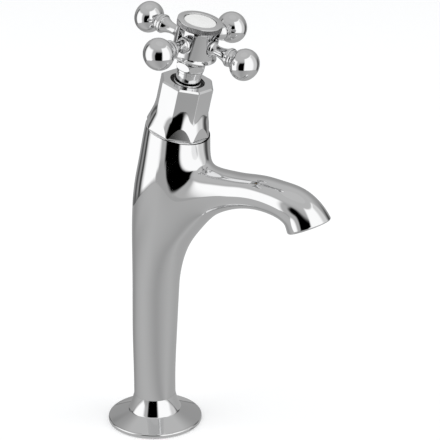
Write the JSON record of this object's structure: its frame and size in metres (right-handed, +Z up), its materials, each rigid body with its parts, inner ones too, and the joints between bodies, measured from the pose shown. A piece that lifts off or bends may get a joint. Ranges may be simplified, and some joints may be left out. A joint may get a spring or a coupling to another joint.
{
  "type": "cross handle pillar tap",
  "caption": "Tall chromed pillar tap with a swan neck spout, a leaning valve head and a cross handle with ball ends; the handle turns and lifts the valve.",
  "frame": {"origin": "centre of the flange's underside, on the deck the tap stands on", "axes": "+Z up, +X the way the spout reaches, +Y to the left seen from behind the tap"},
  "size_m": [0.1262, 0.0708, 0.2706],
  "materials": {
    "chrome": "polished chrome plate",
    "brass": "machined brass",
    "rubber": "moulded rubber",
    "nylon": "moulded plastic",
    "fibre": "pressed fibre",
    "packing": "greased yarn",
    "enamel": "white enamel, bare",
    "steel": "turned steel"
  },
  "bodies": {
    "tap": {"tap_body": "chrome", "inlet_tail": "brass", "base_gasket": "rubber", "under_washer": "nylon", "backnut": "brass", "valve_seat": "brass", "bonnet": "brass", "bonnet_washer": "fibre", "gland_washer": "brass", "gland_packing": "packing", "gland_nut": "chrome", "bonnet_cover": "chrome"},
    "jumper": {"jumper": "brass", "jumper_washer": "rubber", "jumper_nut": "brass"},
    "handle": {"spindle": "brass", "handle_hub": "chrome", "arm_front": "chrome", "arm_left": "chrome", "arm_rear": "chrome", "arm_right": "chrome", "ball_front": "chrome", "ball_left": "chrome", "ball_rear": "chrome", "ball_right": "chrome", "index_ring": "chrome", "index_disc": "enamel", "handle_screw": "steel"}
  },
  "joints": [
    {"name": "spindle_lift", "type": "slide", "parent": "tap", "child": "jumper", "axis": [0.2453, 0, 0.9694], "range_m": [0, 0.0054]},
    {"name": "handle_turn", "type": "hinge", "parent": "jumper", "child": "handle", "pos_m": [0.0259, 0, 0.19947], "axis": [0.2453, 0, 0.9694], "range_deg": [0, 765]}
  ],
  "couplings": [
    {"joint": "spindle_lift", "follows": "handle_turn", "m_per_rad": 0.00040425}
  ]
}
